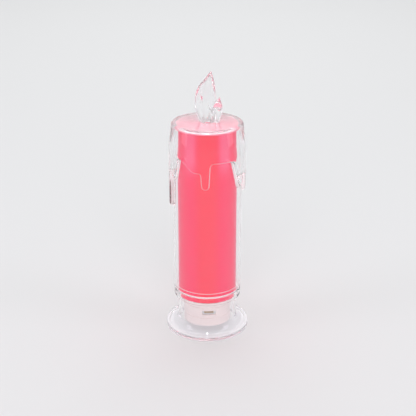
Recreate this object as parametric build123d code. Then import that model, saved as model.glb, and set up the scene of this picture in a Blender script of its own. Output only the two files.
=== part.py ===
from build123d import *
from math import cos, radians, sin
import os

# Flameless LED candle: a clear taper candle on a round foot, built from separate pieces.
# Millimetres, +Z up, origin at the centre of the foot's underside. The front faces -Y.

os.makedirs("parts", exist_ok=True)

# ---- Driving dimensions: foot, neck and cup (one clear moulding) ----
FOOT_R = 27.5
RIM_INNER_R = 25.2
RIM_H = 2.6
FLARE_R = 5.8
FLARE_WALL = 1.7
FLARE_TOP = 7.7
NECK_R = 19.4
BORE_R = 17.7
CUP_R = 21.9
CUP_BOTTOM = 23.0
LEDGE_Z = 24.2
CUP_BORE_R = 18.9
LIP_Z = 28.0
LIP_SEAT_R = 21.0
SEAM_Z = 29.6
SEAM_EDGE_R = 0.35

# ---- Clear shell and its wax relief ----
SHELL_R = 22.1
SHELL_BORE_R = 20.1
SHELL_TOP = 141.0
SHELL_TOP_T = 2.2
SHELL_EDGE_R = 2.2
LIP_R = 20.95
LIP_PLAY = 0.05
FLAME_HOLE_R = 4.1
WAX_PROUD = 2.2
WAX_START = 140.6
WAX_SHOULDER_Z = 139.0
WAX_SHOULDER_PROUD = 0.45
WAX_FULL = 127.0
WAX_KNEE_R = 45.0
WAX_FILLET = 3.0
WAX_OVERLAP = 0.3
# Each run of wax, going round from the left: azimuth from the front (degrees, right positive),
# width, height of its tip, height of the wax edge on its right, and the azimuth at which that
# edge gives way to the next run's.
WAX_RUNS = [
    (-158, 7.0, 105.0, 118.0, -142),
    (-125, 7.0, 99.0, 117.0, -108),
    (-82, 7.6, 86.5, 111.5, -71),
    (-61, 6.2, 107.0, 121.0, -45),
    (-3, 6.6, 103.7, 120.3, 24),
    (60, 6.8, 101.6, 107.5, 78),
    (96, 7.6, 95.0, 118.0, 112),
    (128, 7.0, 108.0, 116.0, 146),
    (165, 8.0, 92.0, 117.5, -176),
]
# Height of the wax edge on the left of a run, where it isn't that of the run before it.
WAX_LEFT_EDGE = {-3: 116.3}

# ---- Flame ----
# Ellipses from bottom to tip: height above the shell, x of the centre, half width, half depth.
FLAME_TONGUE = [
    (0.0, 0.2, 5.4, 4.4),
    (3.5, -0.1, 6.2, 5.0),
    (8.0, -0.7, 6.8, 5.4),
    (13.0, -1.1, 6.4, 5.2),
    (18.0, -1.0, 6.0, 4.6),
    (22.5, -0.2, 4.9, 3.7),
    (26.4, 1.0, 2.8, 2.4),
    (29.2, 1.7, 1.3, 1.2),
    (31.0, 2.2, 0.25, 0.25),
]
SIDE_TONGUE = [
    (0.0, 5.6, 1.9, 2.6),
    (3.0, 6.0, 2.6, 3.2),
    (6.5, 5.9, 3.5, 3.5),
    (9.5, 5.9, 3.6, 3.2),
    (12.0, 6.8, 2.1, 2.1),
    (14.0, 7.3, 0.95, 0.95),
    (15.5, 7.6, 0.2, 0.2),
]
SIDE_TONGUE_Y = -1.6
FLAME_PLUG_R = 4.0
FLAME_PLUG_L = 2.0
LAMP_POCKET_R = 2.8
LAMP_POCKET_H = 2.6

# ---- Pink tube and its cap ----
SLEEVE_R = 18.6
SLEEVE_WALL = 0.5
SLEEVE_TOP = 138.4
CAP_R = 19.7
CAP_T = 1.4
CAP_BRIM_T = 0.8
CAP_SKIRT_H = 4.0
CAP_SKIRT_T = 1.2
CAP_PLAY = 0.05

# ---- Lamp, its holder and leads ----
LED_R = 2.5
LED_FLANGE_R = 2.95
LED_FLANGE_T = 1.0
LED_BOTTOM = 132.6
LED_TOP = 141.2
LEAD_PITCH = 2.54
LEAD_W = 0.5
LEAD_BOTTOM = 122.0
HOLDER_R = 4.6
HOLDER_BOTTOM = 131.4
SLEEVING_R = 0.95
SLEEVING_LOW = 119.4
SLEEVING_HIGH = 127.0
WIRE_R = 0.6
JUMPER_R = 0.45

# ---- Battery tray, lid and cells ----
TRAY_R = 17.3
TRAY_BOTTOM = 16.4
TRAY_TOP = 33.0
TRAY_WALL = 1.5
TRAY_FLOOR = 2.0
TRAY_FLANGE_R = 18.0
TRAY_FLANGE_T = 1.2
TRAY_LOW_R = 15.4
TRAY_STEP_Z = 22.0
SKIRT_BOTTOM = 5.3
SKIRT_WALL = 1.1
GROOVE_HEIGHTS = (10.8, 18.3)
GROOVE_W = 0.5
GROOVE_DEPTH = 0.35
WINDOW_X = (-3.3, 5.3)
WINDOW_Z = 13.4
LID_T = 1.5
BAY_X = (-10.8, 8.0)
BAY_Y = (-3.6, 8.6)
BAY_WALL = 1.2
BAY_TOP = 30.6
CELL_R = 5.8
CELL_T = 5.4
CELL_Z = 24.35
CELL_CAP_R = 4.6
CELL_CAP_T = 0.7
CONTACT_T = 0.3
POSTS = [(0.0, 13.0), (-11.5, -9.5), (11.5, -9.5)]
POST_R = 2.4
PILOT_R = 0.95
SCREW_R = 0.95
SCREW_HEAD_R = 2.0
SCREW_HEAD_T = 1.3
POSITIVE_WIRE_AT = (8.6, 3.0)
NEGATIVE_WIRE_AT = (5.5, -11.0)

# ---- Battery door ----
DOOR_X = (-13.0, 13.6)
DOOR_Y = (-4.7, 9.7)
DOOR_CORNER_R = 13.9
DOOR_T = 1.15
DOOR_PLAY = 0.2
DOOR_SCREW_AT = (10.6, 3.0)
DOOR_BOSS_TOP = 25.0
DOOR_SCREW_L = 7.0
RUNNING = 0.05

# ---- Switch and board ----
SWITCH_Y = -9.5
SWITCH_TRAVEL = 2.0
SWITCH_L = 8.6
SWITCH_W = 4.4
SWITCH_SHELL_T = 0.3
SWITCH_BOTTOM = 20.0
SWITCH_SHELL_H = 3.4
SWITCH_BASE_T = 0.8
TERMINAL_PITCH = 2.5
TERMINAL_W = 0.6
BUTTON_L = 6.0
BUTTON_W = 3.2
BUTTON_BOTTOM = 12.4
BUTTON_REST_X = 1.0
BUTTON_PLATE = (11.4, 4.8, 1.0)
BUTTON_SLOT_W = 3.7
LEVER_W = 1.5
LEVER_POCKET_W = 1.8
BOARD_X = 8.0
BOARD_Y = (-13.2, -4.9)
BOARD_T = 1.0
BOARD_SHELF = 1.2

# Heights and positions that follow from the above
TRAY_BORE_R = TRAY_R - TRAY_WALL
FLOOR_TOP = TRAY_BOTTOM + TRAY_FLOOR
LID_TOP = TRAY_TOP + LID_T
BOARD_BOTTOM = SWITCH_BOTTOM + SWITCH_SHELL_H + SWITCH_BASE_T
BOARD_TOP = BOARD_BOTTOM + BOARD_T
CELL_Y = sum(BAY_Y) / 2
CELLS_START = BAY_X[1] - 1.0 - 3 * CELL_T
SLEEVE_BORE_R = SLEEVE_R - SLEEVE_WALL


# ---- Helpers ----
def band(r0, z0, r1, z1):
    """Rectangle in the half-plane of radius and height."""
    return Pos((r0 + r1) / 2, (z0 + z1) / 2) * Rectangle(r1 - r0, z1 - z0)


def soften(profile, corners, radius):
    """Round the named corners of a flat profile."""
    points = [Vector(x, y) for x, y in corners]
    chosen = [v for v in profile.vertices() if min((Vector(v) - p).length for p in points) < 0.01]
    return fillet(chosen, radius)


def turned(profile):
    """Solid of revolution about Z from a profile of radius and height."""
    return revolve(Plane.XZ * profile, Axis.Z)


def block(x, y, z):
    """Box between two values on each axis."""
    size = [high - low for low, high in (x, y, z)]
    centre = [(high + low) / 2 for low, high in (x, y, z)]
    return Pos(*centre) * Box(*size)


def rod(x, y, z0, z1, radius):
    """Upright cylinder between two heights."""
    return Pos(x, y, (z0 + z1) / 2) * Cylinder(radius, z1 - z0)


def wire(points, radius, bends):
    """Round wire along straight runs joined by tangent arcs."""
    path = FilletPolyline(*points, radius=bends)
    start = Plane(origin=path @ 0, z_dir=path % 0)
    return sweep(start * Circle(radius), path=path)


def bend_radii(points):
    """Largest arc that each corner's two runs leave room for."""
    radii = []
    for before, corner, after in zip(points, points[1:], points[2:]):
        run_in = Vector(*corner) - Vector(*before)
        run_out = Vector(*after) - Vector(*corner)
        half_turn = radians(run_in.get_angle(run_out) / 2)
        shorter = min(run_in.length, run_out.length)
        radii.append(0.45 * shorter * cos(half_turn) / sin(half_turn))
    return radii


# ---- Clear outside pieces ----
def foot_base():
    """Foot, concave flare, neck and cup in one clear moulding."""
    centre = Pos(RIM_INNER_R, FLARE_TOP)
    flare = band(BORE_R, 0.2, RIM_INNER_R, FLARE_TOP) & (
        centre * Circle(FLARE_R + FLARE_WALL) - centre * Circle(FLARE_R))
    profile = band(RIM_INNER_R, 0, FOOT_R, RIM_H) + flare
    profile += band(BORE_R, FLARE_TOP, NECK_R, LEDGE_Z)
    profile += band(BORE_R, CUP_BOTTOM, CUP_R, LEDGE_Z)
    profile += band(CUP_BORE_R, LEDGE_Z, CUP_R, LIP_Z)
    profile += band(LIP_SEAT_R, LIP_Z, CUP_R, SEAM_Z)
    profile = soften(profile, [(FOOT_R, 0), (FOOT_R, RIM_H)], 0.6)
    profile = soften(profile, [(RIM_INNER_R, RIM_H)], 0.4)
    profile = soften(profile, [(CUP_R, CUP_BOTTOM), (NECK_R, CUP_BOTTOM)], 0.6)
    profile = soften(profile, [(CUP_R, SEAM_Z)], SEAM_EDGE_R)
    return turned(profile)


def wax_panel(azimuth, width, tip, left, right, left_edge, right_edge):
    """Prism, pointing out from the axis, whose outline is one run of wax and its two shoulders."""
    half = width / 2
    top = SHELL_TOP + 5
    shoulders = Polyline((-half, tip + half), (-half, left_edge), (-left, left_edge), (-left, top),
                         (right, top), (right, right_edge), (half, right_edge), (half, tip + half))
    tip_arc = ThreePointArc((-half, tip + half), (0, tip), (half, tip + half))
    outline = make_face(shoulders + tip_arc)
    for side, reach, edge in ((-half, left, left_edge), (half, right, right_edge)):
        room = min(reach - half, edge - tip - half)
        outline = soften(outline, [(side, edge)], min(WAX_FILLET, 0.8 * room))
    out = Vector(sin(radians(azimuth)), -cos(radians(azimuth)), 0)
    face = Plane(origin=out * SHELL_BORE_R * 0.8, x_dir=out.rotate(Axis.Z, 90), z_dir=out)
    return extrude(face * outline, SHELL_R)


def wax_relief():
    """Wax that has run down the upper shell, thinning to the top, with rounded runs."""
    outer = SHELL_R + WAX_PROUD
    inner = SHELL_R - 0.9
    lowest = min(run[2] for run in WAX_RUNS) - 1
    shoulder = (SHELL_R + WAX_SHOULDER_PROUD, WAX_SHOULDER_Z)
    section = make_face(Polyline((inner, lowest), (outer, lowest), (outer, WAX_FULL), shoulder,
                                 (inner + 0.3, WAX_START), (inner, WAX_START), close=True))
    section = soften(section, [(outer, WAX_FULL)], WAX_KNEE_R)
    section = soften(section, [shoulder], 1.2)
    coat = turned(section)
    runs = []
    for i, (azimuth, width, tip, right_edge, ends) in enumerate(WAX_RUNS):
        before = WAX_RUNS[i - 1]
        left_edge = WAX_LEFT_EDGE.get(azimuth, before[3])
        left = outer * sin(radians((azimuth - before[4]) % 360)) + WAX_OVERLAP
        right = outer * sin(radians((ends - azimuth) % 360)) + WAX_OVERLAP
        runs.append(coat & wax_panel(azimuth, width, tip, left, right, left_edge, right_edge))
    return runs


def outer_shell():
    """Clear cylinder, open below, with a rounded top, a locating lip and the wax relief."""
    profile = band(SHELL_BORE_R, SEAM_Z, SHELL_R, SHELL_TOP)
    profile += band(FLAME_HOLE_R, SHELL_TOP - SHELL_TOP_T, SHELL_R, SHELL_TOP)
    profile += band(SHELL_BORE_R, LIP_Z + LIP_PLAY, LIP_R, SEAM_Z)
    profile = soften(profile, [(SHELL_R, SHELL_TOP)], SHELL_EDGE_R)
    profile = soften(profile, [(SHELL_R, SEAM_Z)], SEAM_EDGE_R)
    profile = soften(profile, [(SHELL_BORE_R, SHELL_TOP - SHELL_TOP_T)], 0.8)
    shell = turned(profile)
    for run in wax_relief():
        shell += run
    return shell


def tongue(sections, y):
    """Loft through flat ellipses, one above another."""
    return loft([Pos(x, y, SHELL_TOP + h) * Ellipse(w, d) for h, x, w, d in sections])


def flame():
    """Clear flame with a main and a side tongue, a plug below and a pocket for the lamp."""
    body = tongue(FLAME_TONGUE, 0) + tongue(SIDE_TONGUE, SIDE_TONGUE_Y)
    body += rod(0, 0, SHELL_TOP - FLAME_PLUG_L, SHELL_TOP + 0.5, FLAME_PLUG_R)
    pocket_top = SHELL_TOP - FLAME_PLUG_L + LAMP_POCKET_H
    return body - rod(0, 0, SHELL_TOP - FLAME_PLUG_L - 1, pocket_top, LAMP_POCKET_R)


# ---- Pink core ----
def color_sleeve():
    return turned(band(SLEEVE_BORE_R, LEDGE_Z, SLEEVE_R, SLEEVE_TOP - CAP_BRIM_T))


def sleeve_cap():
    """Disc with a brim over the top of the tube and a short skirt inside it."""
    outer = SLEEVE_BORE_R - CAP_PLAY
    under = SLEEVE_TOP - CAP_T
    profile = band(LED_R + 0.2, under, outer, SLEEVE_TOP)
    profile += band(outer, SLEEVE_TOP - CAP_BRIM_T, CAP_R, SLEEVE_TOP)
    profile += band(outer - CAP_SKIRT_T, under - CAP_SKIRT_H, outer, under)
    return turned(soften(profile, [(CAP_R, SLEEVE_TOP)], 0.3))


# ---- Lamp and wiring ----
def led():
    """Round-nosed lamp with a flange."""
    flange_top = LED_BOTTOM + LED_FLANGE_T
    body = rod(0, 0, LED_BOTTOM, flange_top, LED_FLANGE_R)
    body += rod(0, 0, LED_BOTTOM, LED_TOP - LED_R, LED_R)
    return body + Pos(0, 0, LED_TOP - LED_R) * Sphere(LED_R)


def led_leads():
    half = LEAD_W / 2
    sides = (-LEAD_PITCH / 2, LEAD_PITCH / 2)
    return [block((x - half, x + half), (-half, half), (LEAD_BOTTOM, LED_BOTTOM)) for x in sides]


def led_holder():
    """Bush under the cap: the lamp's flange bears on its inner step."""
    step = LED_BOTTOM + LED_FLANGE_T
    under_cap = SLEEVE_TOP - CAP_T
    profile = band(LED_R + 0.1, step, HOLDER_R, under_cap)
    profile += band(LED_FLANGE_R + 0.1, HOLDER_BOTTOM, HOLDER_R, step)
    return turned(profile)


def lead_sleeving():
    """Heat-shrink tube over each soldered joint."""
    sleeves = []
    for x in (-LEAD_PITCH / 2, LEAD_PITCH / 2):
        tube = rod(x, 0, SLEEVING_LOW, SLEEVING_HIGH, SLEEVING_R)
        sleeves.append(tube - rod(x, 0, SLEEVING_LOW - 1, SLEEVING_HIGH + 1, WIRE_R + 0.03))
    return sleeves


def wire_positive():
    x, y = POSITIVE_WIRE_AT
    points = [(x, y, BAY_TOP + CONTACT_T), (x, y, 38), (13.6, 5.5, 54), (14.6, 5.2, 82), (13.2, 4.2, 103),
              (LEAD_PITCH / 2, 0, 115.5), (LEAD_PITCH / 2, 0, LEAD_BOTTOM)]
    return wire(points, WIRE_R, bend_radii(points))


def wire_negative():
    x, y = NEGATIVE_WIRE_AT
    points = [(x, y, BOARD_TOP), (x, y, 38), (13.4, -6.2, 56), (14.8, -4.6, 84), (12.6, -3.8, 104),
              (-LEAD_PITCH / 2, 0, 116.5), (-LEAD_PITCH / 2, 0, LEAD_BOTTOM)]
    return wire(points, WIRE_R, bend_radii(points))


def jumper_wire():
    over = BAY_TOP + 2 * JUMPER_R
    points = [(BAY_X[0] + CONTACT_T, -1.6, over), (-8.4, -1.6, over), (-6.6, -4.4, over),
              (-6.4, -7.6, 29.2), (-6.4, -7.6, BOARD_TOP)]
    return wire(points, JUMPER_R, bend_radii(points))


# ---- Battery tray ----
def door_outline(play):
    """Outline of the battery door: a rectangle with its far corners cut to the tray's curve."""
    width = DOOR_X[1] - DOOR_X[0] + 2 * play
    depth = DOOR_Y[1] - DOOR_Y[0] + 2 * play
    plate = Pos(sum(DOOR_X) / 2, sum(DOOR_Y) / 2) * Rectangle(width, depth)
    return plate & Circle(DOOR_CORNER_R + play)


def battery_housing():
    """Stepped tray with the cell bay, lid posts and openings in its floor, and a skirt below."""
    step_top = TRAY_STEP_Z + TRAY_FLANGE_T
    within = turned(band(0, TRAY_BOTTOM, TRAY_LOW_R, TRAY_STEP_Z)
                    + band(0, TRAY_STEP_Z, TRAY_R, TRAY_TOP))
    tray = within - rod(0, 0, FLOOR_TOP, step_top, TRAY_LOW_R - TRAY_WALL)
    tray -= rod(0, 0, step_top, TRAY_TOP, TRAY_BORE_R)
    tray += turned(band(TRAY_BORE_R, LEDGE_Z, TRAY_FLANGE_R, LEDGE_Z + TRAY_FLANGE_T))
    tray += turned(band(TRAY_LOW_R - SKIRT_WALL, SKIRT_BOTTOM, TRAY_LOW_R, TRAY_BOTTOM))
    bay_out = [(low - BAY_WALL, high + BAY_WALL) for low, high in (BAY_X, BAY_Y)]
    tray += block(*bay_out, (FLOOR_TOP, BAY_TOP)) & within
    for x, y in POSTS:
        tray += rod(x, y, FLOOR_TOP, TRAY_TOP, POST_R) & within
    tray += rod(*DOOR_SCREW_AT, FLOOR_TOP, DOOR_BOSS_TOP, POST_R)
    shelf_y = (BOARD_Y[1] - BOARD_SHELF, bay_out[1][0])
    for x in (-BOARD_X + BOARD_SHELF, BOARD_X - BOARD_SHELF):
        tray += block((x - 1, x + 1), shelf_y, (FLOOR_TOP, BOARD_BOTTOM))
    tray -= block(BAY_X, BAY_Y, (TRAY_BOTTOM, BAY_TOP))
    tray -= Pos(0, 0, TRAY_BOTTOM) * extrude(door_outline(DOOR_PLAY), DOOR_T + RUNNING)
    tray -= rod(*DOOR_SCREW_AT, TRAY_BOTTOM, DOOR_BOSS_TOP, SCREW_R + RUNNING)
    for x, y in POSTS:
        tray -= rod(x, y, TRAY_TOP - 9, TRAY_TOP, PILOT_R)
    for z in GROOVE_HEIGHTS:
        tray -= turned(band(TRAY_LOW_R - GROOVE_DEPTH, z, TRAY_LOW_R + 1, z + GROOVE_W))
    tray -= block(WINDOW_X, (-TRAY_LOW_R - 1, SWITCH_Y), (WINDOW_Z, TRAY_BOTTOM))
    slot = BUTTON_L + SWITCH_TRAVEL + 1
    return tray - Pos(0, SWITCH_Y, TRAY_BOTTOM) * Box(slot, BUTTON_SLOT_W, 3 * TRAY_FLOOR)


def housing_cover():
    """Lid with two ribs that hold the cells down, screw holes and wire holes."""
    lid = rod(0, 0, TRAY_TOP, LID_TOP, TRAY_R)
    for y in (CELL_Y - 2.2, CELL_Y + 2.2):
        lid += block((-8, 4), (y - 0.6, y + 0.6), (BAY_TOP, TRAY_TOP))
    for x, y in POSTS:
        lid -= rod(x, y, TRAY_TOP, LID_TOP, SCREW_R + 0.15)
    for x, y in (POSITIVE_WIRE_AT, NEGATIVE_WIRE_AT):
        lid -= rod(x, y, TRAY_TOP, LID_TOP, WIRE_R + 0.4)
    return lid


def pan_screw(x, y, seat, length, up):
    """Pan-head screw with a cross recess; its head stands up or hangs down from the seat."""
    head = Cylinder(SCREW_HEAD_R, SCREW_HEAD_T, align=(Align.CENTER, Align.CENTER, Align.MIN))
    head = fillet(head.edges().filter_by(GeomType.CIRCLE).sort_by(Axis.Z)[-1], 0.6)
    for size in ((2.4, 0.6, 0.7), (0.6, 2.4, 0.7)):
        head -= Pos(0, 0, SCREW_HEAD_T) * Box(*size, align=(Align.CENTER, Align.CENTER, Align.MAX))
    shank = Cylinder(SCREW_R, length, align=(Align.CENTER, Align.CENTER, Align.MAX))
    screw = head + shank
    turn = 0 if up else 180
    return Pos(x, y, seat) * Rot(turn, 0, 0) * screw


def cover_screws():
    return [pan_screw(x, y, LID_TOP, LID_T + 8, True) for x, y in POSTS]


def button_cell(index):
    """Button cell lying on its edge: a rimmed can with its smaller cap towards the spring."""
    x = CELLS_START + index * CELL_T
    can = Pos(x + CELL_CAP_T, CELL_Y, CELL_Z) * Rot(0, 90, 0) * Cylinder(
        CELL_R, CELL_T - CELL_CAP_T, align=(Align.CENTER, Align.CENTER, Align.MIN))
    can = fillet(can.edges().filter_by(GeomType.CIRCLE), 0.35)
    cap = Pos(x, CELL_Y, CELL_Z) * Rot(0, 90, 0) * Cylinder(
        CELL_CAP_R, CELL_T / 2, align=(Align.CENTER, Align.CENTER, Align.MIN))
    return can + cap


def contact_positive():
    """Flat plate against the bay's end wall with a bump and a solder tab."""
    x1 = BAY_X[1]
    plate = block((x1 - CONTACT_T, x1), (CELL_Y - 4, CELL_Y + 4), (19, 29.5))
    tab = block((x1 - CONTACT_T, x1 + 1.2), (1.6, 4.4), (BAY_TOP, BAY_TOP + CONTACT_T))
    riser = block((x1 - CONTACT_T, x1), (1.6, 4.4), (29.5, BAY_TOP))
    bump = block((x1 - 1.0, x1 - CONTACT_T), (CELL_Y - 1.5, CELL_Y + 1.5), (CELL_Z - 1.5, CELL_Z + 1.5))
    return plate + tab + riser + bump


def contact_negative():
    """Plate at the other end with a bowed leaf that presses on the cells."""
    x0 = BAY_X[0]
    plate = block((x0, x0 + CONTACT_T), (-2.9, CELL_Y + 4), (19, 31.7))
    sag = CELLS_START - x0 - CONTACT_T
    bow = ThreePointArc((x0 + CONTACT_T, CELL_Z - 4), (x0 + CONTACT_T + sag, CELL_Z),
                        (x0 + CONTACT_T, CELL_Z + 4))
    inner = ThreePointArc((x0 + CONTACT_T, CELL_Z - 3.5), (x0 + sag, CELL_Z),
                          (x0 + CONTACT_T, CELL_Z + 3.5))
    ends = [Line(bow @ 0, inner @ 0), Line(bow @ 1, inner @ 1)]
    strip = make_face(bow + inner + ends)
    leaf = extrude(Plane.XZ * strip, 2.5, both=True)
    return plate + Pos(0, CELL_Y, 0) * leaf


# ---- Switch and board ----
def terminal_places():
    return [(n * TERMINAL_PITCH, SWITCH_Y) for n in (-1, 0, 1)]


def circuit_board():
    board = block((-BOARD_X, BOARD_X), BOARD_Y, (BOARD_BOTTOM, BOARD_TOP))
    for x, y in terminal_places():
        board -= rod(x, y, BOARD_BOTTOM, BOARD_TOP, TERMINAL_W)
    return board


def resistor():
    """Axial resistor with its leads bent down onto the board."""
    y, z = -6.6, BOARD_TOP + 1.1
    body = Pos(2.2, y, z) * Rot(0, 90, 0) * Cylinder(0.95, 4.6)
    body = fillet(body.edges().filter_by(GeomType.CIRCLE), 0.35)
    for end in (-1.0, 5.4):
        low, high = sorted((end, 2.2))
        body += block((low, high), (y - 0.2, y + 0.2), (z - 0.2, z + 0.2))
        body += block((end - 0.2, end + 0.2), (y - 0.2, y + 0.2), (BOARD_TOP, z + 0.2))
    return body


def switch_shell():
    """Folded metal cover, open at the back, with a slot for the lever."""
    half_l, half_w = SWITCH_L / 2, SWITCH_W / 2
    top = SWITCH_BOTTOM + SWITCH_SHELL_H
    t = SWITCH_SHELL_T
    cover = block((-half_l, half_l), (SWITCH_Y - half_w, SWITCH_Y + half_w), (SWITCH_BOTTOM, top))
    cover -= block((-half_l + t, half_l - t), (SWITCH_Y - half_w + t, SWITCH_Y + half_w - t),
                   (SWITCH_BOTTOM + t, top))
    slot = LEVER_W + SWITCH_TRAVEL + 1
    return cover - Pos(0, SWITCH_Y, SWITCH_BOTTOM) * Box(slot, LEVER_W + 0.4, 1)


def switch_base():
    half_l, half_w = SWITCH_L / 2, SWITCH_W / 2
    bottom = SWITCH_BOTTOM + SWITCH_SHELL_H
    plate = block((-half_l, half_l), (SWITCH_Y - half_w, SWITCH_Y + half_w), (bottom, BOARD_BOTTOM))
    for x, y in terminal_places():
        plate -= block((x - 0.35, x + 0.35), (y - 0.25, y + 0.25), (bottom, BOARD_BOTTOM))
    return plate


def switch_terminals():
    low, high = SWITCH_BOTTOM + SWITCH_SHELL_H - 0.5, BOARD_TOP + 1.2
    half = TERMINAL_W / 2
    return [block((x - half, x + half), (y - 0.15, y + 0.15), (low, high))
            for x, y in terminal_places()]


def switch_lever():
    """Lever of the slide switch, with the block that carries its moving contact."""
    x, half = BUTTON_REST_X, LEVER_W / 2
    lever = block((x - half, x + half), (SWITCH_Y - half, SWITCH_Y + half), (18.2, SWITCH_BOTTOM + 1))
    return lever + block((x - 1.9, x + 1.9), (SWITCH_Y - 1.6, SWITCH_Y + 1.6),
                         (SWITCH_BOTTOM + 0.5, SWITCH_BOTTOM + 2.4))


def switch_button():
    """Button that the finger moves: a plate above the floor, a ribbed knob below it."""
    x = BUTTON_REST_X
    length, width, thick = BUTTON_PLATE
    bottom = FLOOR_TOP + 0.1
    button = Pos(x, SWITCH_Y, bottom + thick / 2) * Box(length, width, thick)
    knob = block((x - BUTTON_L / 2, x + BUTTON_L / 2),
                 (SWITCH_Y - BUTTON_W / 2, SWITCH_Y + BUTTON_W / 2), (BUTTON_BOTTOM, bottom))
    knob = chamfer(knob.edges().group_by(Axis.Z)[0], 0.5)
    for rib_x in (x - 1.6, x, x + 1.6):
        knob -= block((rib_x - 0.3, rib_x + 0.3), (SWITCH_Y - 3, SWITCH_Y + 3),
                      (BUTTON_BOTTOM, BUTTON_BOTTOM + 0.5))
    pocket = block((x - LEVER_POCKET_W / 2, x + LEVER_POCKET_W / 2),
                   (SWITCH_Y - LEVER_POCKET_W / 2, SWITCH_Y + LEVER_POCKET_W / 2),
                   (18.0, bottom + thick))
    return button + knob - pocket


# ---- Door ----
def battery_door():
    """Flat door with two ribs that carry the cells and a hole for its screw."""
    door = Pos(0, 0, TRAY_BOTTOM) * extrude(door_outline(0), DOOR_T)
    for y in (CELL_Y - 3.4, CELL_Y + 3.4):
        door += block((BAY_X[0] + 2, BAY_X[1] - 2), (y - 0.5, y + 0.5),
                      (TRAY_BOTTOM + DOOR_T, FLOOR_TOP))
    return door - rod(*DOOR_SCREW_AT, TRAY_BOTTOM, FLOOR_TOP, SCREW_R + RUNNING)


def door_screw():
    return pan_screw(*DOOR_SCREW_AT, TRAY_BOTTOM - RUNNING, DOOR_SCREW_L, False)


# ---- Write one STEP per piece ----
PIECES = {
    "foot_base": foot_base,
    "outer_shell": outer_shell,
    "flame": flame,
    "color_sleeve": color_sleeve,
    "sleeve_cap": sleeve_cap,
    "led": led,
    "led_leads": led_leads,
    "led_holder": led_holder,
    "lead_sleeving": lead_sleeving,
    "wire_positive": wire_positive,
    "wire_negative": wire_negative,
    "jumper_wire": jumper_wire,
    "battery_housing": battery_housing,
    "housing_cover": housing_cover,
    "cover_screws": cover_screws,
    "contact_positive": contact_positive,
    "contact_negative": contact_negative,
    "circuit_board": circuit_board,
    "resistor": resistor,
    "switch_shell": switch_shell,
    "switch_base": switch_base,
    "switch_terminals": switch_terminals,
    "switch_lever": switch_lever,
    "switch_button": switch_button,
    "battery_door": battery_door,
    "door_screw": door_screw,
}


def write(name, shape):
    """Write a piece, or a group of like pieces, as one STEP file."""
    if isinstance(shape, list):
        shape = Compound(children=[solid for piece in shape for solid in piece.solids()])
    export_step(shape, f"parts/{name}.step")


for name, make in PIECES.items():
    write(name, make())
for index in range(3):
    write(f"button_cell_{index + 1}", button_cell(index))
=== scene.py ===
"""Flameless LED candle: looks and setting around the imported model."""

from math import ceil, cos, hypot, pi, radians, sin, sqrt, tan

import bmesh
import bpy
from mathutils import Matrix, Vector, kdtree
from mathutils.geometry import delaunay_2d_cdt

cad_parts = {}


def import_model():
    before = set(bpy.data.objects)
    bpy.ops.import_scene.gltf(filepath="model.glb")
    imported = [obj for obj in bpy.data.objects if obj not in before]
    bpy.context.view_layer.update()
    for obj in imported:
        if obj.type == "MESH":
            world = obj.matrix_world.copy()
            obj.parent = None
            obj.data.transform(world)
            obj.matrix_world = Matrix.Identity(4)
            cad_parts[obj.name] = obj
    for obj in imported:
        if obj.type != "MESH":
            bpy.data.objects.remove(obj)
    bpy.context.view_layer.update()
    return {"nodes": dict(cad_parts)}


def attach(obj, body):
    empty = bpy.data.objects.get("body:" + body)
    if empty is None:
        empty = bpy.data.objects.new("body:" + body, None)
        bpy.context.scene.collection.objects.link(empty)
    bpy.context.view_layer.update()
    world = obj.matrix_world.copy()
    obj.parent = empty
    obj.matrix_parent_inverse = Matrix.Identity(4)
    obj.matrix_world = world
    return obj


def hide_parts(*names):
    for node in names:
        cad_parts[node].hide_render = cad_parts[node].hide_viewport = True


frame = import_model()

MM = 0.001

# ---- Clear moulding sizes, millimetres ----
SHELL_R = 22.1          # outside of the shell where it has no wax
SHELL_BORE_R = 20.1
SHELL_TOP = 141.0
PLATE_T = 2.2           # closed top
FLAME_HOLE_R = 4.1
PLUG_R = 4.0            # part of the flame that goes down the hole
PLUG_DEPTH = 2
PLUG_JOIN = 0.6         # how far plug and pocket reach up into the flame
POCKET_R = 2.8          # hollow in the plug, for the lamp
LIP_R = 21.0            # bore in the foot's mouth round the shell's lip
SEAT_Z = 28.0           # ledge that the lip stands on
LIP_SLACK = 0.05
SEAM_Z = 29.6           # where the outsides of shell and foot meet
SEAM_GAP = 0.03         # half of the gap between them
MARK_LOW = 31.2         # matt ring in the shell's bore, just above the seam
MARK_HIGH = 31.7
FOOT_R = 27.5
RIM_R = 25.2            # inside of the raised rim round the foot
NECK_R = 19.4
NECK_BORE_R = 17.7
CUP_R = 21.9
CUP_BORE_R = 18.9
TOP_R = 22.35           # where the rounded top's outside would meet its flat
LEAN_Z = 127            # the outside leans in above this, with the wax's outside below
TURNS = 360             # steps round a turned piece

# Material slots of the clear pieces: 0 is clear, and these are the others.
MATT = 1
SOFT = 2                # hazy on the foot, satin on the shell's top

# ---- Wax relief, millimetres ----
WAX_PROUD = 2.2         # thickness over the plain shell
WAX_LIP = 2.2           # distance over which the edge rounds up to that thickness
WAX_MATT = 0.7          # how much of that distance is matt
LIP_DEPTHS = (0, 0.02, 0.09, 0.22, 0.42, 0.7, 1.05, 1.5, WAX_LIP)
WAX_LOW = 84.0          # heights between which the surface carries the edge
WAX_HIGH = 123.7
WAX_WAVE = 0.07         # height of the faint waves
WAVE_FADE = 3           # they die out over this height below WAX_HIGH
ROW_STEP = 1.25         # spacing of the rows of points
CLEAR_OF_LIP = 0.5      # least distance of those points from the lip, in the wax
CLEAR_OF_EDGE = 0.8     # and from the edge, on the bare shell
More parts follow.
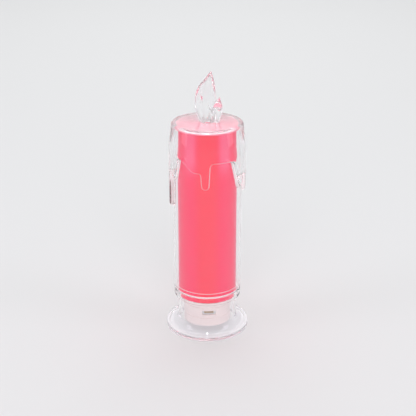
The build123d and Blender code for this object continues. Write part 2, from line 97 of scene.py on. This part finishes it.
# Runs of wax: azimuth from the front in degrees (right positive), width near the tip, height of
# the tip, how far the left and the right side lean out from upright in degrees, fillets at the
# left and the right, height of the wax edge on the right, and the azimuth where that edge ends.
WAX_RUNS = [
    (-158, 7.0, 105.0, 4, 3, 3.0, 3.0, 118.0, -141.9),
    (-125, 7.0, 99.0, 3, 4, 3.0, 3.0, 117.0, -106),
    (-82, 7.6, 86.5, 3, 0, 3.0, 0.8, 111.5, -71),
    (-61, 6.2, 107.0, 0, 16, 0.8, 0.6, 120.8, -45),
    (-3, 5.6, 103.7, 5, 3, 1.0, 2.4, 120.3, 24),
    (60, 6.8, 101.6, 18, 0, 2.2, 1.4, 107.5, 78),
    (96, 7.6, 95.0, 0, 2, 1.4, 2.0, 118.0, 111.6),
    (128, 7.0, 108.0, 5, 5, 3.0, 3.0, 116.0, 146),
    (165, 8.0, 92.0, 3, 0, 3.0, 3.0, 117.5, 184),
]
# Where the edge falls before it meets the run: the run's azimuth, height of the edge on its left,
# how steep the fall is in degrees, and its upper and lower radius.
WAX_FALL = (-3, 114.0, 35, 1.0, 4.0)


# ---- Mesh helpers ----
def rounded(corners, steps=8):
    """Outline through (radius, height, fillet) corners, each fillet as an arc."""
    outline = []
    count = len(corners)
    for i, (x, y, fillet) in enumerate(corners):
        here = Vector((x, y))
        if fillet <= 0:
            outline.append((x, y))
            continue
        before = (Vector(corners[i - 1][:2]) - here).normalized()
        after = (Vector(corners[(i + 1) % count][:2]) - here).normalized()
        half = before.angle(after) / 2
        centre = here + (before + after).normalized() * (fillet / sin(half))
        start = here + before * (fillet / tan(half)) - centre
        end = here + after * (fillet / tan(half)) - centre
        sweep = start.angle_signed(end)
        for n in range(steps + 1):
            turn = -sweep * n / steps
            outline.append((centre.x + start.x * cos(turn) - start.y * sin(turn),
                            centre.y + start.x * sin(turn) + start.y * cos(turn)))
    return outline


def smooth(mesh, sharp_angle=35):
    """Shade a mesh smooth but for edges sharper than the angle."""
    mesh.shade_smooth()
    mesh.set_sharp_from_angle(angle=radians(sharp_angle))


def mesh_object(name, points, faces):
    """Object from points in millimetres."""
    mesh = bpy.data.meshes.new(name)
    mesh.from_pydata([(x * MM, y * MM, z * MM) for x, y, z in points], [], faces)
    mesh.update()
    smooth(mesh)
    made = bpy.data.objects.new(name, mesh)
    bpy.context.scene.collection.objects.link(made)
    return made


def turned_rows(outline, closed):
    """Points and faces of a closed or open outline of (radius, height) turned about Z."""
    count = len(outline)
    points = []
    for s in range(TURNS):
        angle = 2 * pi * s / TURNS
        points += [(r * sin(angle), -r * cos(angle), z) for r, z in outline]
    faces = []
    for s in range(TURNS):
        left, right = s * count, (s + 1) % TURNS * count
        for n in range(count if closed else count - 1):
            m = (n + 1) % count
            faces.append((left + n, left + m, right + m, right + n))
    return points, faces


def tidy_mesh(made, sharp_angle=35):
    """Merge doubled points, drop loose ends, turn faces outward and mark the sharp edges."""
    work = bmesh.new()
    work.from_mesh(made.data)
    bmesh.ops.remove_doubles(work, verts=work.verts, dist=0.004 * MM)
    bmesh.ops.delete(work, geom=[e for e in work.edges if e.is_wire], context="EDGES")
    bmesh.ops.delete(work, geom=[v for v in work.verts if not v.link_faces], context="VERTS")
    bmesh.ops.recalc_face_normals(work, faces=work.faces)
    work.to_mesh(made.data)
    work.free()
    smooth(made.data, sharp_angle)


def finish(made, slot, covers):
    """Put the faces whose radius and height it covers in a material slot."""
    for face in made.data.polygons:
        x, y, z = face.center / MM
        if covers(hypot(x, y), z):
            face.material_index = slot


def stands_for(made, body, node):
    """Put a finished piece in the place of a CAD node."""
    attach(made, body)
    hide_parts(node)


# ---- Wax relief, on the shell unrolled: distance round it, and height ----
# Each point of the wax's edge is (centre, direction, radius, way). At a depth into the wax it
# moves to centre + direction * (radius + way * depth).
def arc(centre, start, sweep, radius, way, steps=9):
    """Rounded corner of the edge: way is 1 about a centre outside the wax, -1 inside it."""
    turns = [radians(start + sweep * n / steps) for n in range(steps + 1)]
    return [(centre, (cos(a), sin(a)), radius, way) for a in turns]


def straight(start, end, into_wax, spacing=0.8):
    """Evenly spaced points strictly between two ends."""
    count = ceil(hypot(end[0] - start[0], end[1] - start[1]) / spacing)
    parts = [n / count for n in range(1, count)]
    return [((start[0] + (end[0] - start[0]) * t, start[1] + (end[1] - start[1]) * t), into_wax, 0, 1)
            for t in parts]


def wax_side(c, half, tip, lean, fillet, level, side):
    """One side of a run, from the tip up: side is -1 on the left and 1 on the right."""
    turn = radians(lean)
    into = (-side * cos(turn), sin(turn))
    foot = (c - half * into[0], tip + half - half * into[1])
    rise = (level - fillet + fillet * into[1] - foot[1]) / cos(turn)
    head = (foot[0] + side * rise * sin(turn), foot[1] + rise * cos(turn))
    centre = (head[0] - fillet * into[0], head[1] - fillet * into[1])
    begin = lean if side < 0 else 180 - lean
    return straight(foot, head, into) + arc(centre, begin, 90 - begin, fillet, 1), centre[0]


def wax_edge():
    """The wax's lower edge once round the shell, from left to right."""
    outer = SHELL_R + WAX_PROUD
    *_, level, ends = WAX_RUNS[-1]
    here = radians(ends - 360) * outer
    edge = [((here, level), (0, 1), 0, 1)]
    for azimuth, width, tip, lean_in, lean_out, fillet_in, fillet_out, next_level, ends in WAX_RUNS:
        c, half = radians(azimuth) * outer, width / 2
        if azimuth == WAX_FALL[0]:
            _, low, steep, upper_r, lower_r = WAX_FALL
            turn = radians(steep)
            drop = level - low - (upper_r + lower_r) * (1 - cos(turn))
            head = (stop + upper_r * sin(turn), level - upper_r + upper_r * cos(turn))
            foot = (head[0] + drop / tan(turn), head[1] - drop)
            edge += straight((here, level), (stop, level), (0, 1))
            edge += arc((stop, level - upper_r), 90, -steep, upper_r, 1)
            edge += straight(head, foot, (sin(turn), cos(turn)))
            here, level = foot[0] + lower_r * sin(turn), low
            edge += arc((here, low + lower_r), 270 - steep, steep, lower_r, -1)
        left, left_top = wax_side(c, half, tip, lean_in, fillet_in, level, -1)
        right, right_top = wax_side(c, half, tip, lean_out, fillet_out, next_level, 1)
        edge += straight((here, level), (left_top, level), (0, 1))
        edge += left[::-1]
        edge += arc((c, tip + half), 180 + lean_in, 180 - lean_in - lean_out, half, -1, 24)
        edge += right
        here, level = right_top, next_level
        stop = radians(ends) * outer
    edge += straight((here, level), (stop, level), (0, 1))
    edge.append(((stop, level), (0, 1), 0, 1))
    return edge


def inset(edge, depth):
    """The wax's edge moved into the wax by a depth."""
    line = []
    for (x, z), (dx, dz), radius, way in edge:
        reach = max(radius + way * depth, 0)
        line.append((x + dx * reach, z + dz * reach))
    return line


def wax_rise(depth, x, z):
    """How far the surface stands off the plain shell: a round lip, and faint waves behind it.

    The waves are two crossing sets, 26 and 15 round the shell, so they meet at the back."""
    if depth <= 0:
        return 0.0
    lip = min(depth / WAX_LIP, 1)
    angle = x / (SHELL_R + WAX_PROUD)
    wave = WAX_WAVE * lip * (sin(26 * angle + 0.08 * z) + 0.6 * sin(15 * angle - 0.13 * z))
    fade = min(max((WAX_HIGH - z) / WAVE_FADE, 0), 1)
    return WAX_PROUD * sqrt(1 - (1 - lip) ** 2) + wave * fade


def wax_surface():
    """The shell's outside between WAX_LOW and WAX_HIGH: points, faces and which are matt."""
    outer = SHELL_R + WAX_PROUD
    edge = wax_edge()
    places, depths, lines = [], [], []
    for depth in LIP_DEPTHS:
        first = len(places)
        places += inset(edge, depth)
        depths += [depth] * len(edge)
        lines += [(n, n + 1) for n in range(first, len(places) - 1)]
    tree = kdtree.KDTree(len(edge))
    for n, (x, z) in enumerate(places[:len(edge)]):
        tree.insert((x, z, 0), n)
    tree.balance()
    left, right = places[0][0], places[len(edge) - 1][0]

    def add(x, z):
        """Add a point with its depth, unless it is too near the lip."""
        spot, n, away = tree.find((x, z, 0))
        _, (dx, dz), _, way = edge[n]
        inside = ((x - spot[0]) * dx + (z - spot[1]) * dz) * way > 0
        if away > (WAX_LIP + CLEAR_OF_LIP if inside else CLEAR_OF_EDGE):
            places.append((x, z))
            depths.append(away if inside else -away)

    rows = int((WAX_HIGH - WAX_LOW) / ROW_STEP)
    columns = TURNS // 3
    for row in range(rows + 1):
        z = WAX_LOW + (WAX_HIGH - WAX_LOW) * row / rows
        border = row in (0, rows)
        steps = TURNS if border else columns
        for n in range(steps + 1):
            shift = 0.5 if row % 2 and not border and 0 < n < steps else 0
            if n + shift < steps or n == steps:
                add(left + (right - left) * (n + shift) / steps, z)
    flat, _, triangles, _, _, _ = delaunay_2d_cdt([Vector(p) for p in places], lines, [], 0, 1e-5)
    # Points that the triangulation adds where lines cross count as bare shell.
    depths += [-1] * (len(flat) - len(depths))
    points = []
    for depth, (x, z) in zip(depths, flat):
        reach = SHELL_R + wax_rise(depth, x, z)
        points.append((reach * sin(x / outer), -reach * cos(x / outer), z))
    spans = [(min(depths[n] for n in face), max(depths[n] for n in face)) for face in triangles]
    matt = [low >= 0 and 0 < high <= WAX_MATT for low, high in spans]
    return points, [tuple(face) for face in triangles], matt


# ---- Clear pieces ----
def clear_foot():
    """Foot, flare, neck and cup in one moulding."""
    seam = SEAM_Z - SEAM_GAP
    outline = rounded([
        (FOOT_R, 0, 0.6), (FOOT_R, 2.6, 0.6), (RIM_R, 2.6, 0.4), (RIM_R, 1.9, 0.25),
        (NECK_R, 1.9, 5.5), (NECK_R, 23.0, 0.6), (CUP_R, 23.0, 0.6), (CUP_R, seam, 0.35),
        (LIP_R, seam, 0.12), (LIP_R, SEAT_Z, 0.1), (CUP_BORE_R, SEAT_Z, 0.12),
        (CUP_BORE_R, 24.15, 0.2), (NECK_BORE_R, 24.15, 0.15), (NECK_BORE_R, 0.2, 7.2),
        (RIM_R, 0.2, 0), (RIM_R, 0, 0)])
    points, faces = turned_rows(outline, True)
    made = mesh_object("clear_foot", points, faces)
    # Matt: the edge at the seam, the seat and the inner corner of the rim. Soft: the flare.
    finish(made, MATT, lambda r, z: r > 21.5 and z > 29.1 or abs(z - SEAT_Z) < 0.01)
    finish(made, SOFT, lambda r, z: z < 8)
    finish(made, MATT, lambda r, z: RIM_R - 0.1 < r < RIM_R + 0.55 and z > 2.1)
    tidy_mesh(made)
    stands_for(made, "candle", "foot_base")
    return made


def clear_shell():
    """Cylinder with a rounded closed top, a lip below and the wax relief."""
    under = SHELL_TOP - PLATE_T
    seam = SEAM_Z + SEAM_GAP
    lip_r = LIP_R - LIP_SLACK
    lip_z = SEAT_Z + LIP_SLACK
    outer = SHELL_R + WAX_PROUD
    outline = rounded([
        (SHELL_R, WAX_LOW, 0), (SHELL_R, seam, 0.35), (lip_r, seam, 0.1), (lip_r, lip_z, 0.1),
        (SHELL_BORE_R, lip_z, 0.1), (SHELL_BORE_R, MARK_LOW, 0), (SHELL_BORE_R, MARK_HIGH, 0),
        (SHELL_BORE_R, under, 0.8), (FLAME_HOLE_R, under, 0.1), (FLAME_HOLE_R, SHELL_TOP, 0.15),
        (TOP_R, SHELL_TOP, 2.0), (outer, LEAN_Z, 45), (outer, WAX_HIGH, 0)])
    points, faces = turned_rows(outline, False)
    more, patch, matt = wax_surface()
    slots = [0] * len(faces) + [MATT if each else 0 for each in matt]
    faces += [tuple(n + len(points) for n in face) for face in patch]
    made = mesh_object("clear_shell", points + more, faces)
    made.data.polygons.foreach_set("material_index", slots)
    # Matt: the wax's edge, the edge at the seam and the ring in the bore. Soft: the top.
    finish(made, MATT, lambda r, z: r > 21.7 and z < seam + 0.3)
    finish(made, MATT, lambda r, z: r < SHELL_BORE_R + 0.4 and MARK_LOW < z < MARK_HIGH)
    finish(made, SOFT, lambda r, z: z > SHELL_TOP - 1.6 and r > FLAME_HOLE_R + 0.1)
    tidy_mesh(made)
    stands_for(made, "candle", "outer_shell")
    return made


# Flame sections from bottom to tip: height, x of the centre, half width, half depth.
MAIN_TONGUE = [(0.05, 0.2, 5.4, 4.4), (3.5, -0.1, 6.2, 5.0), (8.0, -0.7, 6.8, 5.3),
               (13.0, -1.1, 6.4, 5.1), (18.0, -1.0, 6.0, 4.5), (22.5, -0.2, 4.9, 3.6),
               (26.4, 1.0, 2.8, 2.3), (29.2, 1.7, 1.3, 1.1), (30.9, 2.2, 0.3, 0.3)]
SIDE_TONGUE = [(0.05, 5.6, 1.9, 2.5), (3.0, 5.9, 2.5, 3.1), (6.5, 5.8, 3.4, 3.4),
               (9.5, 5.8, 3.5, 3.1), (12.0, 6.7, 2.1, 2.1), (14.0, 7.2, 0.95, 0.95),
               (15.4, 7.5, 0.2, 0.2)]
SIDE_TONGUE_Y = -1.6


def between(sections, h):
    """Smooth section at a height, by a cubic through the neighbouring ones."""
    heights = [s[0] for s in sections]
    i = max(n for n, z in enumerate(heights[:-1]) if z <= h + 1e-9)
    low, high = sections[i], sections[i + 1]
    before, after = sections[max(i - 1, 0)], sections[min(i + 2, len(sections) - 1)]
    step = high[0] - low[0]
    t = (h - low[0]) / step
    out = []
    for k in (1, 2, 3):
        slope_low = (high[k] - before[k]) / (high[0] - before[0]) * step
        slope_high = (after[k] - low[k]) / (after[0] - low[0]) * step
        value = (2 * t**3 - 3 * t**2 + 1) * low[k] + (t**3 - 2 * t**2 + t) * slope_low
        out.append(value + (-2 * t**3 + 3 * t**2) * high[k] + (t**3 - t**2) * slope_high)
    return out


def tongue(sections, y, flutes, depth, twist, rows=70, around=120):
    """Points and faces of one closed tongue of the flame, whose flutes fade out upwards."""
    low, high = sections[0][0], sections[-1][0]
    points, faces = [], []
    for row in range(rows + 1):
        h = low + (high - low) * row / rows
        x, w, d = between(sections, h)
        fade = max(1 - (h - low) / (0.8 * (high - low)), 0)
        for n in range(around):
            a = 2 * pi * n / around
            groove = 1 - depth * fade * (1 - abs(cos(flutes * a / 2 + twist * h)))**2
            points.append((x + w * groove * cos(a), y + d * groove * sin(a), SHELL_TOP + h))
    for row in range(rows):
        for n in range(around):
            m = (n + 1) % around
            a, b = row * around, (row + 1) * around
            faces.append((a + n, a + m, b + m, b + n))
    faces.append(tuple(reversed(range(around))))
    faces.append(tuple(range(rows * around, (rows + 1) * around)))
    return points, faces


def rod(radius, low, high, around=96):
    """Points and faces of a closed upright rod on the axis."""
    points = [(radius * cos(2 * pi * n / around), radius * sin(2 * pi * n / around), z)
              for z in (low, high) for n in range(around)]
    sides = [(n, (n + 1) % around, around + (n + 1) % around, around + n) for n in range(around)]
    return points, sides + [tuple(reversed(range(around))), tuple(range(around, 2 * around))]


def combine(made, other, operation):
    """Join another closed mesh to a piece, or cut it away."""
    tool = mesh_object("tool", *other)
    step = made.modifiers.new(operation, "BOOLEAN")
    step.operation = operation
    step.solver = "EXACT"
    step.object = tool
    bpy.context.view_layer.update()
    depsgraph = bpy.context.evaluated_depsgraph_get()
    mesh = bpy.data.meshes.new_from_object(made.evaluated_get(depsgraph))
    made.modifiers.clear()
    made.data = mesh
    bpy.data.objects.remove(tool)


def clear_flame():
    """Two fluted tongues and a plug, joined in one moulding, with a pocket for the lamp."""
    main = tongue(MAIN_TONGUE, 0, flutes=8, depth=0.2, twist=0.05)
    side = tongue(SIDE_TONGUE, SIDE_TONGUE_Y, flutes=5, depth=0.16, twist=-0.06, rows=50, around=80)
    low, high = SHELL_TOP - PLUG_DEPTH, SHELL_TOP + PLUG_JOIN
    made = mesh_object("clear_flame", *main)
    combine(made, side, "UNION")
    combine(made, rod(PLUG_R, low, high), "UNION")
    combine(made, rod(POCKET_R, low - 1, high), "DIFFERENCE")
    tidy_mesh(made, 30)
    stands_for(made, "candle", "flame")
    return made


# ---- Materials ----
class Nodes:
    """Small helper for building one material's node tree."""

    def __init__(self, name):
        self.material = bpy.data.materials.new(name)
        self.material.use_nodes = True
        self.tree = self.material.node_tree
        self.shader = self.tree.nodes["Principled BSDF"]

    def set(self, node=None, **values):
        """Set inputs of a node, or of the shader, with _ in a name for a space."""
        for key, value in values.items():
            (node or self.shader).inputs[key.replace("_", " ")].default_value = value

    def node(self, kind, **inputs):
        made = self.tree.nodes.new(kind)
        self.set(made, **inputs)
        return made

    def link(self, a, b):
        self.tree.links.new(a, b)

    def place(self, stretch=(1, 1, 1)):
        """Object coordinates, stretched."""
        where = self.node("ShaderNodeTexCoord")
        mapping = self.node("ShaderNodeMapping", Scale=stretch)
        self.link(where.outputs["Object"], mapping.inputs["Vector"])
        return mapping.outputs["Vector"]

    def noise(self, scale, detail, stretch=(1, 1, 1)):
        made = self.node("ShaderNodeTexNoise", Scale=scale, Detail=detail)
        self.link(self.place(stretch), made.inputs["Vector"])
        return made.outputs["Fac"]

    def remap(self, value, low, high, out_low, out_high):
        made = self.node("ShaderNodeMapRange", From_Min=low, From_Max=high, To_Min=out_low,
                         To_Max=out_high)
        self.link(value, made.inputs["Value"])
        return made.outputs["Result"]

    def ramp(self, value, low, high, out_low, out_high):
        """Remap with a soft start and end."""
        result = self.remap(value, low, high, out_low, out_high)
        result.node.interpolation_type = "SMOOTHSTEP"
        return result

    def maths(self, operation, *values):
        made = self.tree.nodes.new("ShaderNodeMath")
        made.operation = operation
        for value, socket in zip(values, made.inputs):
            self.link(value, socket)
        return made.outputs[0]

    def mix(self, factor, a, b):
        """Mix of two colours, each plain or from another node."""
        made = self.tree.nodes.new("ShaderNodeMix")
        made.data_type = "RGBA"
        self.link(factor, made.inputs["Factor"])
        for colour, socket in ((a, made.inputs["A"]), (b, made.inputs["B"])):
            if isinstance(colour, tuple):
                socket.default_value = (*colour, 1)
            else:
                self.link(colour, socket)
        return made.outputs["Result"]

    def let_through(self, *rays):
        """Let these rays pass the surface unbent, so that what is behind it is lit."""
        surface = self.shader.outputs["BSDF"]
        path = self.tree.nodes.new("ShaderNodeLightPath")
        for ray in rays:
            made = self.tree.nodes.new("ShaderNodeMixShader")
            unbent = self.tree.nodes.new("ShaderNodeBsdfTransparent")
            self.link(path.outputs[ray], made.inputs[0])
            self.link(surface, made.inputs[1])
            self.link(unbent.outputs[0], made.inputs[2])
            surface = made.outputs[0]
        self.link(surface, self.tree.nodes["Material Output"].inputs["Surface"])

    def bump(self, height, distance, strength):
        made = self.node("ShaderNodeBump", Strength=strength, Distance=distance)
        self.link(height, made.inputs["Height"])
        self.link(made.outputs["Normal"], self.shader.inputs["Normal"])


def clear_plastic(name, ior=1.5, matt=0.0, milk=0.0, tint=(0.985, 0.985, 0.99)):
    """Clear plastic with uneven handling haze; matt blurs it and milk whitens it."""
    m = Nodes(name)
    m.set(Base_Color=(*tint, 1), Transmission_Weight=1 - milk, IOR=ior)
    haze = m.noise(60, 4, (1, 1, 0.35))
    m.link(m.remap(haze, 0.35, 0.8, matt, matt * 1.3 + 0.04), m.shader.inputs["Roughness"])
    m.let_through("Is Diffuse Ray", "Is Shadow Ray")
    return m.material


def plastic(name, colour, other, roughness, thin=False):
    """Moulded plastic: slight colour drift, fine grain, uneven gloss; thin plastic passes light."""
    m = Nodes(name)
    drift = m.remap(m.noise(55, 3), 0.3, 0.7, 0, 1)
    m.link(m.mix(drift, colour, other), m.shader.inputs["Base Color"])
    m.link(m.remap(m.noise(180, 3), 0.3, 0.7, roughness - 0.08, roughness + 0.1),
           m.shader.inputs["Roughness"])
    m.bump(m.noise(900, 2), 0.00003, 0.6)
    if thin:
        m.let_through("Is Shadow Ray")
    return m.material


def metal(name, colour, other, roughness, stretch=(1, 1, 12)):
    """Plated metal with fine drawn lines and faint tarnish."""
    m = Nodes(name)
    m.set(Metallic=1.0)
    drift = m.remap(m.noise(120, 4), 0.35, 0.7, 0, 1)
    m.link(m.mix(drift, colour, other), m.shader.inputs["Base Color"])
    lines = m.noise(900, 3, stretch)
    m.link(m.remap(lines, 0.3, 0.7, roughness - 0.08, roughness + 0.12), m.shader.inputs["Roughness"])
    m.bump(lines, 0.00001, 0.5)
    return m.material


def pink_tube():
    """Satin pink tube with painted light over its pink, and fine upright lines.

    The redder middle, cooler flanks and pale rims are painted shading and sheen across the front
    view, and a paler stripe on each side near the top is a painted highlight. Distances here are
    metres."""
    m = Nodes("pink_tube")
    m.set(Specular_IOR_Level=0.2)
    where = m.tree.nodes.new("ShaderNodeSeparateXYZ")
    m.link(m.place(), where.inputs[0])
    side = m.maths("ABSOLUTE", where.outputs["X"])
    # Painted shading and sheen: colour set by distance from the middle of the front view, cooler and
    # more magenta on the flanks and paler at the rims, stands in for how the side light falls.
    painted_flank_tint = m.ramp(side, 0.003, 0.0095, 0, 1)
    rim = m.ramp(side, 0.0155, 0.0185, 0, 1)
    # Painted highlight: a paler stripe on each side near the top, where the side lamps would glint.
    across = m.maths("MULTIPLY", m.ramp(side, 0.005, 0.009, 0, 1),
                     m.ramp(side, 0.011, 0.0145, 1, 0))
    painted_highlight_band = m.maths("MULTIPLY", across, m.ramp(where.outputs["Z"], 0.106, 0.121, 0, 0.85))
    drift = m.remap(m.noise(30, 3, (1, 1, 0.25)), 0.3, 0.7, 0, 1)
    colour = m.mix(drift, (0.98, 0.018, 0.06), (0.99, 0.026, 0.08))
    # Painted light: these tints go over the base colour in the areas above.
    for area, one, other in ((painted_flank_tint, (0.98, 0.011, 0.095), (0.99, 0.019, 0.115)),
                             (rim, (0.98, 0.036, 0.15), (0.99, 0.05, 0.17)),
                             (painted_highlight_band, (0.98, 0.1, 0.22), (0.99, 0.13, 0.27))):
        colour = m.mix(area, colour, m.mix(drift, one, other))
    m.link(colour, m.shader.inputs["Base Color"])
    m.link(m.remap(m.noise(240, 3, (1, 1, 0.1)), 0.3, 0.7, 0.38, 0.52), m.shader.inputs["Roughness"])
    m.bump(m.noise(700, 2, (1, 1, 0.08)), 0.00002, 0.5)
    return m.material


def dress_nodes():
    """Every CAD node that shows gets a material."""
    # The tray is pale plastic; its pink tint is painted reflected light from the pink tube.
    tray = plastic("tray_plastic", (0.82, 0.7, 0.7), (0.86, 0.73, 0.73), 0.35, thin=True)
    white = plastic("white_plastic", (0.86, 0.85, 0.82), (0.9, 0.89, 0.86), 0.4)
    tan_plastic = plastic("tan_plastic", (0.5, 0.36, 0.22), (0.56, 0.42, 0.27), 0.45)
    steel = metal("screw_steel", (0.62, 0.62, 0.6), (0.5, 0.49, 0.46), 0.3)
    nickel = metal("nickel_plate", (0.75, 0.72, 0.66), (0.66, 0.62, 0.54), 0.22)
    tin = metal("tinned_lead", (0.78, 0.78, 0.77), (0.68, 0.68, 0.66), 0.28)
    cell = metal("cell_steel", (0.74, 0.74, 0.73), (0.66, 0.66, 0.64), 0.16, (1, 1, 1))
    black = plastic("black_plastic", (0.02, 0.02, 0.02), (0.03, 0.03, 0.03), 0.4)
    finishes = {
        "color_sleeve": pink_tube(),
        # The cap's pink is paler than the tube's: painted light, standing in for its top lit from
        # above.
        "sleeve_cap": plastic("pink_cap", (0.95, 0.21, 0.31), (0.97, 0.24, 0.35), 0.5),
        "battery_housing": tray, "battery_door": tray, "housing_cover": white,
        "led_holder": white, "switch_button": tan_plastic, "switch_lever": white,
        "cover_screws": steel, "door_screw": steel, "switch_shell": nickel,
        "contact_positive": nickel, "contact_negative": nickel, "led_leads": tin,
        "switch_terminals": tin, "button_cell_1": cell, "button_cell_2": cell,
        "button_cell_3": cell,
        "wire_positive": plastic("red_wire", (0.62, 0.02, 0.02), (0.7, 0.03, 0.03), 0.35),
        "wire_negative": black, "jumper_wire": black,
        "lead_sleeving": plastic("shrink_sleeving", (0.8, 0.8, 0.78), (0.86, 0.86, 0.84), 0.5),
        "led": clear_plastic("lamp_lens", 1.53),
        "circuit_board": plastic("board_laminate", (0.5, 0.3, 0.12), (0.56, 0.36, 0.16), 0.5),
        "switch_base": plastic("switch_laminate", (0.25, 0.13, 0.06), (0.3, 0.16, 0.08), 0.55),
        "resistor": plastic("resistor_lacquer", (0.62, 0.46, 0.27), (0.68, 0.52, 0.32), 0.3),
    }
    for node, material in finishes.items():
        slots = frame["nodes"][node].data.materials
        slots.clear()
        slots.append(material)


# ---- Setting, in metres and watts ----
FLOOR_REACH = 4.0
FLOOR_Z = -0.15 * MM    # a hair below the foot
CAMERA_PLACE = (0, -0.5083, 0.2904)
CAMERA_DOWN = 22.2      # degrees below level
CAMERA_LENS = 73.8      # focal length in millimetres, for a sensor 36 wide
CAMERA_SHIFT = 0.0017
WORLD_COLOUR = (0.99, 0.995, 1, 1)
WORLD_STRENGTH = 0.58


def area_light(name, place, aim, size, power, colour=(1, 1, 1)):
    """Soft rectangular light that faces a point."""
    lamp = bpy.data.lights.new(name, "AREA")
    lamp.shape = "RECTANGLE"
    lamp.size, lamp.size_y = size
    lamp.energy = power
    lamp.color = colour
    made = bpy.data.objects.new(name, lamp)
    made.location = place
    made.rotation_euler = (Vector(aim) - Vector(place)).to_track_quat("-Z", "Y").to_euler()
    bpy.context.scene.collection.objects.link(made)
    return made


def world():
    """Even studio surround."""
    made = bpy.data.worlds.new("studio")
    bpy.context.scene.world = made
    made.use_nodes = True
    back = made.node_tree.nodes["Background"]
    back.inputs["Color"].default_value = WORLD_COLOUR
    back.inputs["Strength"].default_value = WORLD_STRENGTH


def floor():
    """Pale flat floor that reaches well past the view."""
    mesh = bpy.data.meshes.new("floor")
    corners = [(-FLOOR_REACH, -FLOOR_REACH, FLOOR_Z), (FLOOR_REACH, -FLOOR_REACH, FLOOR_Z),
               (FLOOR_REACH, FLOOR_REACH, FLOOR_Z), (-FLOOR_REACH, FLOOR_REACH, FLOOR_Z)]
    mesh.from_pydata(corners, [], [(0, 1, 2, 3)])
    made = bpy.data.objects.new("floor", mesh)
    bpy.context.scene.collection.objects.link(made)
    m = Nodes("floor_paper")
    m.set(Roughness=0.9, Base_Color=(0.7, 0.705, 0.71, 1))
    made.data.materials.append(m.material)


def camera():
    """Long-lens view from in front and above."""
    lens = bpy.data.cameras.new("camera")
    lens.sensor_width = 36
    lens.lens = CAMERA_LENS
    lens.shift_x = CAMERA_SHIFT
    made = bpy.data.objects.new("camera", lens)
    made.location = CAMERA_PLACE
    made.rotation_euler = (radians(90 - CAMERA_DOWN), 0, 0)
    bpy.context.scene.collection.objects.link(made)
    bpy.context.scene.camera = made


def lights():
    """Front softbox, two overhead, a thin strip that only makes highlights, and one each side."""
    front = area_light("front", (0, -1.6, 1.0), aim=(0, 0, 0.05), size=(1.6, 1.0), power=12.8)
    front.visible_glossy = False
    front.visible_transmission = False
    area_light("overhead", (0, 0.5, 1.3), aim=(0, 0.5, 0), size=(1.4, 1.4), power=7)
    area_light("back", (0, 1.9, 1.0), aim=(0, 1.9, 0), size=(2.0, 2.0), power=8)
    strip = area_light("strip", (0, 0.1, 1.0), aim=(0, 0.1, 0), size=(0.06, 1.4), power=2.5)
    strip.visible_diffuse = False
    for side in (-1, 1):
        area_light("side", (side * 0.95, -0.3, 0.45), aim=(0, 0, 0.08), size=(0.4, 0.9), power=1.9,
                   colour=(0.96, 0.9, 1.0))


dress_nodes()
cool_tint = (0.975, 0.965, 0.995)
clear = clear_plastic("clear_plastic", milk=0.02)
lips = clear_plastic("matt_lips", matt=0.4, milk=0.45)
satin = clear_plastic("satin_top", matt=0.18, milk=0.05, tint=cool_tint)
hazy = clear_plastic("hazy_foot", milk=0.12, tint=cool_tint)
for piece, finishes in ((clear_foot(), (clear, lips, hazy)), (clear_shell(), (clear, lips, satin)),
                        (clear_flame(), (clear,))):
    for material in finishes:
        piece.data.materials.append(material)
world()
floor()
camera()
lights()

scene = bpy.context.scene
scene.view_settings.view_transform = "Standard"
# A ray meets many clear walls, one behind another, and too few bounces leave them dark.
scene.cycles.max_bounces = 96
scene.cycles.transmission_bounces = 96
scene.cycles.glossy_bounces = 32
scene.cycles.transparent_max_bounces = 24
